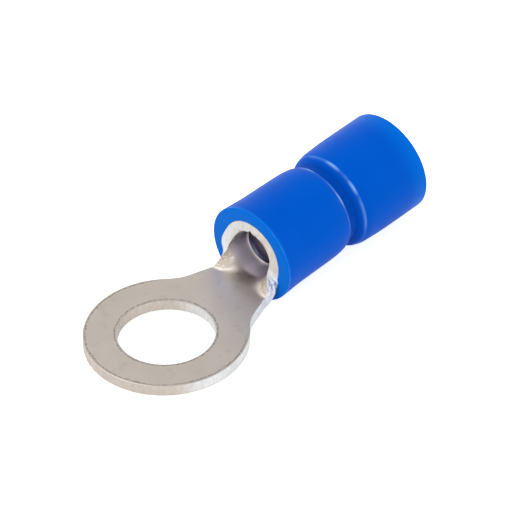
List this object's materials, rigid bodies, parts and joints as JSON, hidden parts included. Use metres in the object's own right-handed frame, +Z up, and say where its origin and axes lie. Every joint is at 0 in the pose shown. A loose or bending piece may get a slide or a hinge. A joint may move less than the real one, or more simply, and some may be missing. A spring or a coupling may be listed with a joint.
{
  "type": "ring terminal",
  "caption": "Insulated crimp ring terminal: flat tinned ring with a stud hole, rolled barrel and blue sleeve with a funnel wire entry.",
  "frame": {"origin": "centre of the stud hole on the ring's underside", "axes": "+Z up through the stud hole, +X along the terminal from the ring to the wire entry, +Y across the ring"},
  "size_m": [0.023, 0.0096, 0.0061],
  "materials": {
    "tinned_copper": "satin tin plate",
    "sleeve_pvc": "smooth moulded, slightly glossy"
  },
  "bodies": {
    "root": {"ring_lug": "tinned_copper", "insulating_sleeve": "sleeve_pvc"}
  },
  "joints": []
}
